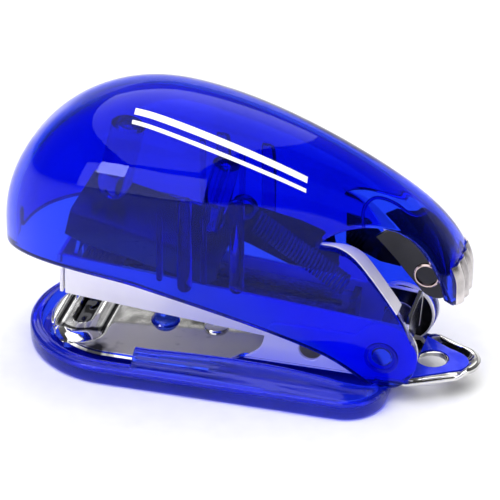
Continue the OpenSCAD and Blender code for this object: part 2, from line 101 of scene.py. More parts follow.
def noise(mat, scale, detail=3.0, stretch=(1, 1, 1)):
    """Object-space noise, its scale in features per metre, stretched by axis."""
    coord = add(mat, "TexCoord")
    mapping = add(mat, "Mapping", Scale=stretch)
    tex = add(mat, "TexNoise", Scale=scale, Detail=detail)
    link(mat, coord.outputs["Object"], mapping.inputs["Vector"])
    link(mat, mapping.outputs[0], tex.inputs["Vector"])
    return tex.outputs["Fac"]


def ramp(mat, fac, stops):
    node = add(mat, "ValToRGB")
    elements = node.color_ramp.elements
    while len(elements) < len(stops):
        elements.new(0.5)
    for element, (place, colour) in zip(elements, stops):
        element.position = place
        element.color = colour if len(colour) == 4 else (*colour, 1)
    link(mat, fac, node.inputs["Fac"])
    return node.outputs["Color"]


def spread(mat, fac, low, high, lo=0.3, hi=0.7):
    node = add(mat, "MapRange")
    for key, value in (("From Min", lo), ("From Max", hi), ("To Min", low), ("To Max", high)):
        node.inputs[key].default_value = value
    link(mat, fac, node.inputs["Value"])
    return node.outputs["Result"]


def bump(mat, shader, height, strength, distance):
    node = add(mat, "Bump", Strength=strength, Distance=distance)
    link(mat, height, node.inputs["Height"])
    link(mat, node.outputs[0], shader.inputs["Normal"])


def blue_plastic(name, tint, shadow_tint, clear, sheen):
    """Clear cobalt moulding: refracts what is seen through it, and casts a tinted shadow."""
    mat, shader, out = new_material(name)
    shader.inputs["Transmission Weight"].default_value = clear
    shader.inputs["IOR"].default_value = 1.48
    shader.inputs["Specular Tint"].default_value = (*sheen, 1)
    cloud = noise(mat, 90, 3, (1, 1, 0.4))
    deep = tuple(c * 0.86 for c in tint)
    link(mat, ramp(mat, cloud, [(0.3, deep), (0.7, tint)]), shader.inputs["Base Color"])
    link(mat, spread(mat, noise(mat, 260, 4), 0.015, 0.045), shader.inputs["Roughness"])
    bump(mat, shader, noise(mat, 120, 2), 0.05, 0.0004)
    shade = add(mat, "BsdfTransparent")
    shade.inputs["Color"].default_value = (*shadow_tint, 1)
    path = add(mat, "LightPath")
    mix = add(mat, "MixShader")
    link(mat, path.outputs["Is Shadow Ray"], mix.inputs[0])
    link(mat, shader.outputs[0], mix.inputs[1])
    link(mat, shade.outputs[0], mix.inputs[2])
    link(mat, mix.outputs[0], out.inputs["Surface"])
    return mat


def metal(name, light, dark, rough_low, rough_high, stretch,
          scale=900, depth=0.00001, smudge=70, shine=1.0):
    """Plated or plain steel: fine drawn lines, soft smudges and a slight change of tone."""
    mat, shader, _ = new_material(name)
    shader.inputs["Metallic"].default_value = shine
    tone = noise(mat, smudge, 4)
    link(mat, ramp(mat, tone, [(0.3, dark), (0.65, light)]), shader.inputs["Base Color"])
    lines = noise(mat, scale, 3, stretch)
    wear = add(mat, "Math", operation="MULTIPLY")
    link(mat, tone, wear.inputs[0])
    link(mat, lines, wear.inputs[1])
    link(mat, spread(mat, wear.outputs[0], rough_low, rough_high, 0.1, 0.45), shader.inputs["Roughness"])
    bump(mat, shader, lines, 0.25, depth)
    return mat


def calc(mat, operation, value, constant=0.0):
    node = add(mat, "Math", operation=operation)
    node.inputs[1].default_value = constant
    link(mat, value, node.inputs[0])
    return node.outputs[0]


def plate_with_painted_shade():
    """Bright plate with painted shade: black in the anvil's recess and its groove, painted highlights on
    the brighter flats round them, and a few dark clouds of painted reflection.
    """
    mat, shader, _ = new_material("anvil_plate_chrome_painted_shade")
    shader.inputs["Metallic"].default_value = 1.0
    coord = add(mat, "TexCoord")
    parts = add(mat, "SeparateXYZ")
    link(mat, coord.outputs["Object"], parts.inputs[0])
    # Distance from a line along Y, 3 mm each way from the anvil's middle
    past_end = calc(mat, "SUBTRACT", calc(mat, "ABSOLUTE", parts.outputs["Y"]), 3.0 * MM)
    both = add(mat, "CombineXYZ")
    link(mat, calc(mat, "SUBTRACT", parts.outputs["X"], ANVIL_X * MM), both.inputs["X"])
    link(mat, calc(mat, "MAXIMUM", past_end, 0.0), both.inputs["Y"])
    reach = add(mat, "VectorMath", operation="LENGTH")
    link(mat, both.outputs[0], reach.inputs[0])
    # Painted shade: black in the recess and the groove; painted highlight: the brighter flats between and
    # round them
    bright, black = (0.84, 0.83, 0.83), (0.03, 0.03, 0.035)
    stops = [(0.0, black), (0.15, black), (0.19, bright), (0.36, bright), (0.39, black), (0.44, black),
             (0.47, bright), (0.56, (0.7, 0.69, 0.68)), (1.0, (0.72, 0.71, 0.69))]
    rings = ramp(mat, spread(mat, reach.outputs["Value"], 0.0, 1.0, 0.0, 8.0 * MM), stops)
    # Dark clouds on the plate: painted reflections of the dark room
    painted_dark_reflections = ramp(mat, noise(mat, 150, 3), [(0.30, (0.05, 0.05, 0.06)), (0.40, (1, 1, 1))])
    shade_and_reflections = add(mat, "MixRGB", blend_type="MULTIPLY")
    shade_and_reflections.inputs["Fac"].default_value = 1.0
    link(mat, rings, shade_and_reflections.inputs["Color1"])
    link(mat, painted_dark_reflections, shade_and_reflections.inputs["Color2"])
    link(mat, shade_and_reflections.outputs[0], shader.inputs["Base Color"])
    lines = noise(mat, 500, 3)
    link(mat, spread(mat, lines, 0.05, 0.16), shader.inputs["Roughness"])
    bump(mat, shader, lines, 0.2, 0.00001)
    return mat


def grainy(name, scale, detail, dark, light, smooth, rough, lift=0.0, specular=0.5):
    """A plain finish with a fine grain in its tone, roughness and surface."""
    mat, shader, _ = new_material(name)
    shader.inputs["Specular IOR Level"].default_value = specular
    grain = noise(mat, scale, detail)
    link(mat, ramp(mat, grain, [(0.3, dark), (0.7, light)]), shader.inputs["Base Color"])
    link(mat, spread(mat, grain, smooth, rough), shader.inputs["Roughness"])
    if lift:
        bump(mat, shader, grain, lift, 0.00002)
    return mat


COVER_BLUE = blue_plastic("clear_cobalt_cover", (0.012, 0.045, 0.84), (0.05, 0.09, 0.82), 0.985,
                          (0.26, 0.29, 0.75))
TRAY_BLUE = blue_plastic("clear_cobalt_tray", (0.035, 0.09, 0.92), (0.10, 0.15, 0.90), 0.9,
                         (0.55, 0.57, 0.95))
CHROME = metal("bright_chrome_plate", (0.86, 0.86, 0.87), (0.74, 0.74, 0.76), 0.03, 0.13,
               (1, 12, 12))
STEEL = metal("rolled_steel", (0.46, 0.46, 0.48), (0.30, 0.30, 0.32), 0.18, 0.38, (1, 20, 20))
DARK_STEEL = metal("blued_steel", (0.12, 0.12, 0.15), (0.05, 0.05, 0.07), 0.12, 0.3, (1, 20, 20))
# Satin nickel of the ears and magazine, also used for the painted highlight strips on the arms; its warm
# tone is painted to offset the blue tint of the light through the blue mouldings
SATIN_AND_HIGHLIGHT = metal("satin_nickel_and_painted_highlight", (0.97, 0.94, 0.89), (0.90, 0.87, 0.83), 0.3, 0.42,
              (1, 8, 8), depth=0.000003, shine=0.15)
SHADED_PLATE = plate_with_painted_shade()
NICKEL = metal("folded_nickel", (0.76, 0.71, 0.70), (0.18, 0.17, 0.18), 0.12, 0.28,
               (1, 10, 10), smudge=220)
ROSE = metal("copper_nickel", (0.66, 0.52, 0.50), (0.40, 0.30, 0.30), 0.1, 0.25,
             (1, 10, 10), smudge=300)
# Black nickel of the cross plate and tail lining, also used for the black sheets of painted shade inside
# the works
BLACK_AND_SHADE = metal("black_nickel_and_painted_shade", (0.05, 0.05, 0.06), (0.02, 0.02, 0.025), 0.06, 0.2, (1, 12, 12))
WIRE = metal("drawn_spring_wire", (0.40, 0.40, 0.43), (0.22, 0.22, 0.24), 0.15, 0.32, (20, 20, 1))
STAPLE = metal("galvanised_wire", (0.74, 0.74, 0.76), (0.52, 0.52, 0.55), 0.2, 0.4, (40, 1, 4))
# Blue of the tab film: a painted reflection of the blue cover on the chrome
BLUE_REFLECTION = grainy("painted_blue_reflection", 400, 3, (0.012, 0.03, 0.80), (0.02, 0.05, 0.95), 0.08, 0.2, 0.1)
PRINT = grainy("pad_print_white", 1500, 4, (0.80, 0.80, 0.82), (0.93, 0.93, 0.95), 0.35, 0.55, 0.2)
PAPER = grainy("pale_paper", 300, 5, (0.89, 0.89, 0.895), (0.93, 0.93, 0.935), 0.75, 0.95, specular=0.1)


# ------------------------------------------------------------ mesh helpers
def tip(point, angle):
    """A point drawn in the closed frame, turned nose-up about the hinge pin."""
    a = math.radians(angle)
    x, y, z = point[0] - HINGE[0], point[1], point[2] - HINGE[1]
    return Vector((HINGE[0] + x * math.cos(a) + z * math.sin(a), y,
                   HINGE[1] - x * math.sin(a) + z * math.cos(a)))


def about_pin(angle):
    """The turn of tip() as a matrix, for a mesh in metres."""
    pin = Matrix.Translation((HINGE[0] * MM, 0, HINGE[1] * MM))
    return pin @ Matrix.Rotation(math.radians(angle), 4, "Y") @ pin.inverted()


def build(name, verts, faces, material, body, slot, stands_for=(), sharp=35, tilt=0.0, weld=1e-7):
    """Makes a piece from points in mm: welded, smooth up to the sharp angle, riding on its body."""
    mesh = bpy.data.meshes.new(name)
    points = [tip(v, tilt) if tilt else Vector(v) for v in verts]
    mesh.from_pydata([p * MM for p in points], [], faces)
    work = bmesh.new()
    work.from_mesh(mesh)
    bmesh.ops.remove_doubles(work, verts=work.verts, dist=weld)
    bmesh.ops.dissolve_degenerate(work, edges=work.edges, dist=weld)
    bmesh.ops.recalc_face_normals(work, faces=work.faces)
    work.to_mesh(mesh)
    work.free()
    mesh.shade_smooth()
    mesh.set_sharp_from_angle(angle=math.radians(sharp))
    return place(name, mesh, material, body, slot, stands_for)


def place(name, mesh, material, body, slot, stands_for=()):
    """Adds a finished mesh as a piece; a piece to be blended between bodies has body None."""
    obj = bpy.data.objects.new(name, mesh)
    SCENE.collection.objects.link(obj)
    mesh.materials.clear()
    mesh.materials.append(material)
    if body:
        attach(obj, body)
    if stands_for:
        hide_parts(*stands_for)
    return obj


def modify(obj, kind, **values):
    mod = obj.modifiers.new(kind.lower(), kind)
    for key, value in values.items():
        setattr(mod, key, value)
    return mod


def grid_faces(columns, rows, start=0, closed=False):
    """Quads of a grid stored column by column; closed joins the last column to the first."""
    faces = []
    for i in range(columns if closed else columns - 1):
        for j in range(rows - 1):
            a = start + i * rows + j
            b = start + ((i + 1) % columns) * rows + j
            faces.append((a, b, b + 1, a + 1))
    return faces


def smoothstep(t):
    t = min(1.0, max(0.0, t))
    return t * t * (3 - 2 * t)


def bezier(p, steps):
    out = []
    for i in range(steps + 1):
        t = i / steps
        k = ((1 - t) ** 3, 3 * t * (1 - t) ** 2, 3 * t * t * (1 - t), t ** 3)
        out.append((sum(k[n] * p[n][0] for n in range(4)), sum(k[n] * p[n][1] for n in range(4))))
    return out


def along(points, x):
    """Height of a polyline that runs steadily along x."""
    if x <= points[0][0]:
        return points[0][1]
    for (x0, z0), (x1, z1) in zip(points, points[1:]):
        if x <= x1:
            return z0 + (z1 - z0) * (x - x0) / max(1e-9, x1 - x0)
    return points[-1][1]


def arc(centre, radius, degrees):
    turns = [math.radians(a) for a in degrees]
    return [(centre[0] + radius * math.cos(a), centre[1] + radius * math.sin(a)) for a in turns]


def resample(points, count):
    """The same line as count points, evenly spaced along it."""
    lengths = [0.0]
    for a, b in zip(points, points[1:]):
        lengths.append(lengths[-1] + math.dist(a, b))
    out, k = [], 0
    for i in range(count):
        want = lengths[-1] * i / (count - 1)
        while k < len(points) - 2 and lengths[k + 1] < want:
            k += 1
        t = (want - lengths[k]) / max(1e-9, lengths[k + 1] - lengths[k])
        out.append(tuple(points[k][n] + (points[k + 1][n] - points[k][n]) * t for n in range(2)))
    return out


def spline(points, per_span=12):
    """A smooth curve through the points (Catmull-Rom)."""
    ends = [tuple(2 * a - b for a, b in zip(points[0], points[1]))] + list(points)
    ends.append(tuple(2 * a - b for a, b in zip(points[-1], points[-2])))
    out = []
    for i in range(1, len(ends) - 2):
        p0, p1, p2, p3 = ends[i - 1:i + 3]
        for s in range(per_span):
            t = s / per_span
            out.append(tuple(
                0.5 * (2 * b + (c - a) * t + (2 * a - 5 * b + 4 * c - d) * t * t
                       + (3 * b - a - 3 * c + d) * t ** 3)
                for a, b, c, d in zip(p0, p1, p2, p3)))
    out.append(tuple(points[-1]))
    return out


# ------------------------------------------------------------ cover shell
def ridge(x):
    """Height of the roof's middle line over the spring line of the section."""
    height = CROWN_Z - SPRING_Z
    if x < CROWN_X:
        return height * math.sqrt(max(0.0, 1 - ((CROWN_X - x) / NOSE_LEN) ** 2))
    return height * max(0.0, 1 - ((x - CROWN_X) / TAIL_LEN) ** ROOF_POW) ** (1 / ROOF_POW)


def half_width(x):
    body = COVER_HALF - (COVER_HALF - ARM_HALF) * smoothstep((x - CROWN_X) / (HINGE[0] - 1 - CROWN_X))
    start = TAIL_X - TAIL_ROUND
    front = rear = 1.0
    if x < CROWN_X:
        front = max(0.0, 1 - ((CROWN_X - x) / NOSE_LEN) ** NOSE_POW) ** (1 / NOSE_POW)
    if x > start:
        rear = max(0.0, 1 - ((x - start) / TAIL_ROUND) ** TAIL_POW) ** (1 / TAIL_POW)
    return body * front * rear


FOOT_RUN = 14.0  # mm of straight wall that count as much as the quarter turn over the roof


def q_of(x, z):
    """Place of height z on the cover's section at x: below 0 on the straight wall, 1 at the ridge."""
    if z <= SPRING_Z:
        return (z - SPRING_Z) / FOOT_RUN
    rise = min(1.0, (z - SPRING_Z) / max(1e-6, ridge(x)))
    return math.asin(rise ** (1 / SECTION_POW)) / (math.pi / 2)


def on_cover(x, q, out=0.0):
    """(half width, height) of the cover's section at x and q, out mm off its surface."""
    w = half_width(x) + out
    if q <= 0:
        return w, SPRING_Z + q * FOOT_RUN
    a = q * math.pi / 2
    y = w * math.cos(a) ** SECTION_POW if q < 1 else 0.0
    return y, SPRING_Z + (ridge(x) + out) * math.sin(a) ** SECTION_POW


def near_y(x, z):
    """Half width of the cover at x and height z."""
    return on_cover(x, q_of(x, z))[0]


OPEN_X, OPEN_Z, TAIL_FOOT_Z = 12.8, 24.4, 15.6  # front corner of the opening, and the tail's lower end
END_GAP = 0.02  # the grids stop this short of the nose and the tail, where the section closes
LOWER = (bezier([(NOSE_X, 15.4), (NOSE_X + 3, 17.1), (-20, 17.6), (-13.6, 16.8)], 16)
         + bezier([(-13.6, 16.8), (-5, 15.6), (5, 10.8), (11, 8)], 20)[1:]
         + bezier([(11, 8), (14, 6.6), (16, 5.4), (19.5, 2.75)], 12)[1:])
OPEN_TOP = (bezier([(OPEN_X, OPEN_Z), (14.5, 26.4), (18, 27.4), (21, 27.2)], 12)
            + bezier([(21, 27.2), (26.5, 26.8), (29.6, 22.5), (31, TAIL_FOOT_Z)], 24)[1:]
            + [(TAIL_X, TAIL_FOOT_Z)])
ARM_TOP = spline([(OPEN_X, OPEN_Z), (15.2, 24.0), (17.6, 22.5), (20.7, 18.7), (24.2, 13.6),
                  (25.9, 10.2)])
MID_ROWS, TOP_ROWS = 16, 16
FRONT_STEPS, ROOF_STEPS, ARM_COLUMNS = 56, 44, 30
ARM_R = 5.0


def cover_shell():
    """The moulded cover: one open surface on the outside, given its wall by a modifier."""
    verts, faces = [], []
    open_low = q_of(OPEN_X, along(LOWER, OPEN_X))
    split = (q_of(OPEN_X, OPEN_Z) - open_low) / (1 - open_low)

    def column(x, q0, q1, rows):
        return [(x, q0 + (q1 - q0) * j / rows) for j in range(rows + 1)]

    def both_sides(half):
        near = [(px, -on_cover(px, q)[0], on_cover(px, q)[1]) for px, q in half]
        return near + [(px, -y, z) for px, y, z in reversed(near[:-1])]

    # Front part: whole sections, from the near edge over the ridge to the far edge
    stations = []
    for i in range(FRONT_STEPS + 1):
        t = i / FRONT_STEPS
        stations.append(NOSE_X + END_GAP
                        + (OPEN_X - NOSE_X - END_GAP) * (1 - math.cos(math.pi * t * 0.5)))
    for x in stations:
        low = q_of(x, along(LOWER, x))
        mid = low + (1 - low) * split
        verts += both_sides(column(x, low, mid, MID_ROWS) + column(x, mid, 1.0, TOP_ROWS)[1:])
    rows = 2 * (MID_ROWS + TOP_ROWS) + 1
    faces += grid_faces(len(stations), rows)
    # Roof over the opening and the tail
    start = len(verts)
    roof = [OPEN_X + (TAIL_X - END_GAP - OPEN_X) * math.sin(math.pi / 2 * i / ROOF_STEPS)
            for i in range(ROOF_STEPS + 1)]
    for x in roof:
        low = min(q_of(x, along(OPEN_TOP, x)), 0.995)
        verts += both_sides(column(x, low, 1.0, TOP_ROWS))
    faces += grid_faces(len(roof), 2 * TOP_ROWS + 1, start)
    # Arms: a patch between the lower edge, the arm's top edge and its round end
    mid = open_low + (1 - open_low) * split
    left = [(OPEN_X, on_cover(OPEN_X, q)[1]) for _, q in column(OPEN_X, open_low, mid, MID_ROWS)]
    foot = [p for p in LOWER if p[0] > OPEN_X] + arc(HINGE, ARM_R, range(-117, -44, 9))
    foot = resample([left[0]] + foot, ARM_COLUMNS)
    top = resample(ARM_TOP, ARM_COLUMNS)
    end_angles = [math.radians(-45 + 82 * j / MID_ROWS) for j in range(MID_ROWS + 1)]
    right = [(HINGE[0] + (ARM_R + 0.05) * math.cos(a), HINGE[1] + ARM_R * math.sin(a))
             for a in end_angles]
    miss_foot = [foot[-1][k] - right[0][k] for k in range(2)]
    miss_top = [top[-1][k] - right[-1][k] for k in range(2)]
    right = [tuple(p[k] + miss_foot[k] * (1 - j / MID_ROWS) + miss_top[k] * j / MID_ROWS
                   for k in range(2)) for j, p in enumerate(right)]
    for side in (-1, 1):
        start = len(verts)
        for i in range(ARM_COLUMNS):
            u = i / (ARM_COLUMNS - 1)
            for j in range(MID_ROWS + 1):
                v = j / MID_ROWS
                x, z = (
                    (1 - v) * foot[i][k] + v * top[i][k] + (1 - u) * left[j][k] + u * right[j][k]
                    - (1 - u) * (1 - v) * foot[0][k] - u * (1 - v) * foot[-1][k]
                    - (1 - u) * v * top[0][k] - u * v * top[-1][k] for k in range(2))
                verts.append((x, side * near_y(x, z), z))
        patch = grid_faces(ARM_COLUMNS, MID_ROWS + 1, start)
        faces += patch if side < 0 else [tuple(reversed(f)) for f in patch]
    shell = build("cover_moulding", verts, faces, COVER_BLUE, "cover", "moulded_blue", ["cover_shell"],
                  sharp=60, weld=2e-6)
    if max(shell.data.polygons, key=lambda p: p.center.z).normal.z < 0:
        shell.data.flip_normals()
    modify(shell, "SOLIDIFY", thickness=WALL * MM, offset=-1.0, use_even_offset=False,
           edge_crease_inner=0.75, edge_crease_outer=0.75, edge_crease_rim=0.0)
    modify(shell, "SUBSURF", levels=1, render_levels=1)


THICK_RIBS = ((-5.7, 1.3), 1.0, 20, [(0.0, 15.6), (0.7, 15.75), (1.0, 16.2), (1.05, 16.8),
                                     (1.05, 29.4), (0.9, 29.9), (0.0, 30.1)])
THIN_RIBS = ((-9.0, -3.0), 0.5, 12, [(0.0, 17.2), (0.3, 17.3), (0.45, 17.6), (0.45, 27.5), (0.0, 27.8)])
POST_FOOT_Z = 13.5
POSTS = ((-21.6, 2.4, 26.0), (-7.0, 1.9, 25.0))  # x, radius, top
RING_SIDES = 48
STEP_LINE = [(18.5, 27.2), (18.2, 29.2), (18.5, 30.2), (19.3, 30.8), (20.6, 30.6), (22.3, 29.8),
             (23.8, 28.8), (24.9, 28.2), (25.8, 27.9), (26.1, 27.8)]


def cover_details():
    """Ribs, screw posts and pivot rings of the cover, satin strips of painted highlight on its arm edges,
    and the stepped rib in its roof.
    """
    parts = []
    for places, off_wall, sides, profile in (THICK_RIBS, THIN_RIBS):
        for x in places:
            for side in (-1, 1):
                y = side * (half_width(x) - WALL - off_wall)
                parts.append(revolve(profile, (x, y, 0), (0, 0, 1), sides))
    build("cover_ribs", *merge(*parts), COVER_BLUE, "cover", "moulded_blue")
    parts = []
    for x, r, top in POSTS:
        foot = [(r * math.sin(math.radians(a)), POST_FOOT_Z + r * (1 - math.cos(math.radians(a))))
                for a in range(0, 91, 10)]
        profile = foot + [(r, top - 0.4), (r - 0.4, top), (0.0, top)]
        parts.append(revolve(profile, (x, 0, 0), (0, 0, 1), 28))
    build("cover_posts", *merge(*parts), COVER_BLUE, "cover", "moulded_blue", tilt=COVER_TILT)
    parts = []
    for side in (-1, 1):
        ring = [(1.85, -0.1), (1.85, 0.1), (1.95, 0.18), (2.3, 0.2), (2.42, 0.12), (2.45, -0.1)]
        verts, faces = revolve(ring, (HINGE[0], side * ARM_HALF, HINGE[1]), (0, side, 0), RING_SIDES)
        parts.append((verts, faces[:-2] + closing_quads(RING_SIDES, len(ring))))
    build("pivot_rings", *merge(*parts), COVER_BLUE, "cover", "moulded_blue")
    # Satin strips on the arms' top edges: painted highlights where the rims of the moulding catch the light
    parts = []
    rim = [p for p in resample(ARM_TOP, 40) if p[1] > 14.2]
    for side in (-1, 1):
        verts, rows = [], 7
        for i, (x, z) in enumerate(rim):
            deep = 0.4 + 2.4 * smoothstep(i / 14)
            verts += [(x + 0.1, side * (near_y(x, z) - 0.3 - deep * j / (rows - 1)), z + 0.1)
                      for j in range(rows)]
        parts.append(thicken(raw("rim", verts, grid_faces(len(rim), rows)), 0.25))
    place("arm_edge_highlights", join("arm_edge_highlights", parts), SATIN_AND_HIGHLIGHT, "cover", "plated_steel")
    line = [Vector((x, -(near_y(x, z) - 0.9), z - 0.5)) for x, z in spline(STEP_LINE, 8)]
    wire("stepped_rib", line, 0.24, COVER_BLUE, "cover", "moulded_blue", (), sides=8)


STRIPE_X, STRIPE_LEN = -14.0, 24.6
STRIPES = ((2.0, 0.7), (-0.3, 0.4))  # place across the print, half width
SECTION_LEN = 30.0  # mm over the roof from the spring line to the ridge, roughly


def imprint():
    """Plain white stripes printed along the near side of the cover."""
    parts = []
    for shift, half in STRIPES:
        verts, columns, rows = [], 61, 5
        for i in range(columns):
            x = STRIPE_X + STRIPE_LEN * i / (columns - 1)
            middle = 0.705 - 0.0088 * (x - STRIPE_X)
            for j in range(rows):
                q = middle + (shift + half * (j / 2 - 1)) / SECTION_LEN
                y, z = on_cover(x, q, 0.07)
                verts.append((x, -y, z))
        parts.append(thicken(raw("stripe", verts, grid_faces(columns, rows)), 0.04))
    place("plain_stripes", join("plain_stripes", parts), PRINT, "cover", "moulded_blue")


# ------------------------------------------------------------ base tray
def tray_outline():
    """(place, outward normal) round the tray, finely spaced where the side wall steps up."""
    out = []
    corner_x, corner_y = TRAY_REAR - TRAY_CORNER, TRAY_HALF - TRAY_CORNER

    def turn(x, y, radius, start, sweep, steps):
        for i in range(steps + 1):
            a = math.radians(start + sweep * i / steps)
            normal = (math.cos(a), math.sin(a))
            out.append(((x + radius * normal[0], y + radius * normal[1]), normal))

    turn(TRAY_NOSE_X, 0, TRAY_HALF, 90, 180, 48)
    xs = [TRAY_NOSE_X + 0.6 * k for k in range(1, 6)] + [-13.9 + 0.14 * k for k in range(20)]
    xs += [-11 + 0.9 * k for k in range(31)]
    xs = [x for x in xs if x < corner_x]
    out += [((x, -TRAY_HALF), (0.0, -1.0)) for x in xs]
    turn(corner_x, -corner_y, TRAY_CORNER, -90, 90, 16)
    out += [((TRAY_REAR, -corner_y + 2 * corner_y * i / 24), (1.0, 0.0)) for i in range(1, 24)]
    turn(corner_x, corner_y, TRAY_CORNER, 0, 90, 16)
    out += [((x, TRAY_HALF), (0.0, 1.0)) for x in reversed(xs)]
    return out


SIDE_TOP = (bezier([(-9.9, 6.4), (2, 7.2), (12, 6.9), (19, 5.4)], 16)
            + bezier([(19, 5.4), (21.5, 4.8), (22.4, 4), (23.8, 3)], 8)[1:])


def tray_top(x, y):
    """(height of the wall's top, how far it is raised from the low rim, from 0 to 1)."""
    raised = smoothstep((x + 13.1) / 0.9)
    high = along(SIDE_TOP, x)
    top = RIM_Z + (high - RIM_Z) * raised
    back = smoothstep((9.0 - abs(y)) / 0.8) if x > 16 else 0.0
    return top + (BACK_Z - top) * back, raised


def tray_rows(x, y):
    """Section of the tray wall from the underside to the floor, as (inset, height)."""
    top, raised = tray_top(x, y)
    low = [(1.7, 0.0), (0.75, 0.0), (0.3, 0.12), (0.06, 0.42), (0.0, 0.9), (0.0, 1.7), (0.0, 2.5),
           (0.05, 2.85), (0.2, 3.1), (0.42, 3.22)]
    # The side wall over the foot rim: three shallow grooves in front, a bulge towards the rear
    steps = 14
    fade = smoothstep((x + 12.6) / 1.0) * smoothstep((9 - x) / 12)
    lens = smoothstep((x + 2) / 8) * smoothstep((21.5 - x) / 3)
    for k in range(1, steps + 1):
        t = k / steps
        groove = 0.2 * fade * max(0.0, math.sin(2 * math.pi * 3 * t)) ** 0.8
        lean = 0.3 * t + 0.35 * lens * math.sin(math.pi * min(1.0, t * 1.2)) ** 2
        low.append((0.44 + (lean + groove) * raised + 0.3 * t * (1 - raised),
                    3.24 + max(0.03, top - 0.3 - 3.24) * t))
    crest = max(RIM_Z, top)
    low += [(0.95, crest - 0.08), (1.15, crest), (1.4, crest), (1.62, crest - 0.1), (1.72, crest - 0.4)]
    low += [(1.76, 2.4), (1.8, 1.6), (2.0, 1.28), (2.5, 1.2)]
    if top < RIM_Z:
        kept = 1.25
        squeeze = (top - kept) / (RIM_Z - kept)
        low = [(i, z if z < kept else kept + (z - kept) * squeeze) for i, z in low]
    return low


def base_tray():
    verts = []
    outline = tray_outline()
    for (x, y), (nx, ny) in outline:
        for inset, z in tray_rows(x, y):
            verts.append((x - nx * inset, y - ny * inset, z))
    rows = len(tray_rows(0, 0))
    count = len(outline)
    faces = grid_faces(count, rows, closed=True)
    faces.append(tuple(i * rows for i in range(count)))
    faces.append(tuple(i * rows + rows - 1 for i in reversed(range(count))))
    build("tray_moulding", verts, faces, TRAY_BLUE, "base", "moulded_blue", ["base_tray"], sharp=40)


def revolve(profile, centre, axis, count=32):
    """A closed surface of revolution: profile holds (radius, place along the axis)."""
    axis = Vector(axis).normalized()
    side = axis.orthogonal().normalized()
    other = axis.cross(side)
    verts, faces = [], []
    for i in range(count):
        a = 2 * math.pi * i / count
        ray = side * math.cos(a) + other * math.sin(a)
        verts += [tuple(Vector(centre) + ray * r + axis * h) for r, h in profile]
    faces = grid_faces(count, len(profile), closed=True)
    for end in (0, len(profile) - 1):
        if profile[end][0] > 1e-6:
            faces.append(tuple(i * len(profile) + end for i in range(count)))
    return verts, faces


def closing_quads(columns, rows):
    """Joins the last row of a closed grid to its first, with one quad a column."""
    faces = []
    for i in range(columns):
        a, b = i * rows, ((i + 1) % columns) * rows
        faces.append((a + rows - 1, b + rows - 1, b, a))
    return faces


def merge(*parts):
    verts, faces = [], []
    for v, f in parts:
        start = len(verts)
        verts += list(v)
        faces += [tuple(i + start for i in face) for face in f]
    return verts, faces


# ------------------------------------------------------------ sheet metal
def sheet(name, outline, thickness, holes=(), edge=0.12):
    """A flat sheet with rounded edges, as a mesh in its own plane."""
    curve = bpy.data.curves.new(name, "CURVE")
    curve.dimensions = "2D"
    curve.fill_mode = "BOTH"
    curve.extrude = (thickness / 2 - edge) * MM
    curve.bevel_depth = edge * MM
    curve.bevel_resolution = 3
    curve.offset = -edge * MM
    for ring in (outline, *holes):
        line = curve.splines.new("POLY")
        line.points.add(len(ring) - 1)
        for point, (a, b) in zip(line.points, ring):
            point.co = (a * MM, b * MM, 0, 1)
        line.use_cyclic_u = True
    obj = bpy.data.objects.new(name, curve)
    SCENE.collection.objects.link(obj)
    mesh = bpy.data.meshes.new_from_object(obj.evaluated_get(bpy.context.evaluated_depsgraph_get()))
    bpy.data.objects.remove(obj)
    bpy.data.curves.remove(curve)
    mesh.name = name
    return mesh


def circle(cx, cy, r, count=32):
    return [(cx + r * math.cos(2 * math.pi * i / count), cy + r * math.sin(2 * math.pi * i / count))
            for i in range(count)]


def upright(mesh, y, tilt=0.0):
    """Turns a sheet drawn in X and Y into one drawn in X and Z, centred on y."""
    mesh.transform(Matrix.Translation((0, y * MM, 0)) @ Matrix.Rotation(math.radians(90), 4, "X"))
    if tilt:
        mesh.transform(about_pin(tilt))
    return mesh


def join(name, meshes):
    """One mesh of several, with its normals outwards."""
    work = bmesh.new()
    for mesh in meshes:
        work.from_mesh(mesh)
    bmesh.ops.recalc_face_normals(work, faces=work.faces)
    out = bpy.data.meshes.new(name)
    work.to_mesh(out)
    work.free()
    out.shade_smooth()
    out.set_sharp_from_angle(angle=math.radians(35))
    return out


def raw(name, verts, faces, tilt=0.0):
    """A plain mesh from points in mm, not yet a piece."""
    mesh = bpy.data.meshes.new(name)
    mesh.from_pydata([(tip(v, tilt) if tilt else Vector(v)) * MM for v in verts], [], faces)
    return mesh


def thicken(mesh, thickness, up=False):
    """Gives an open mesh its thickness, inside its normals; up turns those upwards first."""
    work = bmesh.new()
    work.from_mesh(mesh)
    bmesh.ops.recalc_face_normals(work, faces=work.faces)
    if up and max(work.faces, key=lambda f: abs(f.normal.z)).normal.z < 0:
        bmesh.ops.reverse_faces(work, faces=work.faces)
    bmesh.ops.solidify(work, geom=work.faces[:], thickness=thickness * MM)
    work.to_mesh(mesh)
    work.free()
    return mesh


def capsule(x, y, half):
    """Distance from a line along Y at the anvil, half long each way."""
    return math.hypot(x - ANVIL_X, max(0.0, abs(y) - half))


def pan_height(x, y, edge):
    """Height of the pressed plate: rolled edge, groove, ring and the two staple pockets."""
    d = capsule(x, y, 5.0)
    z = PLATE_Z
    z -= 0.62 * math.exp(-((d - 3.35) / 0.42) ** 2)
    z += 0.45 * (1 - smoothstep((d - 2.0) / 0.75))
    inner = capsule(x, y, 3.0)
    z -= 1.1 * (1 - smoothstep((inner - 1.0) / 0.45))
    for side in (-1, 1):
        pocket = math.hypot(x - ANVIL_X, (y - side * POCKET_Y) / 2.0)
        z -= 0.25 * math.exp(-(pocket / 0.55) ** 2)
    z -= 0.35 * (1 - smoothstep(edge / 0.7)) ** 2
    return z


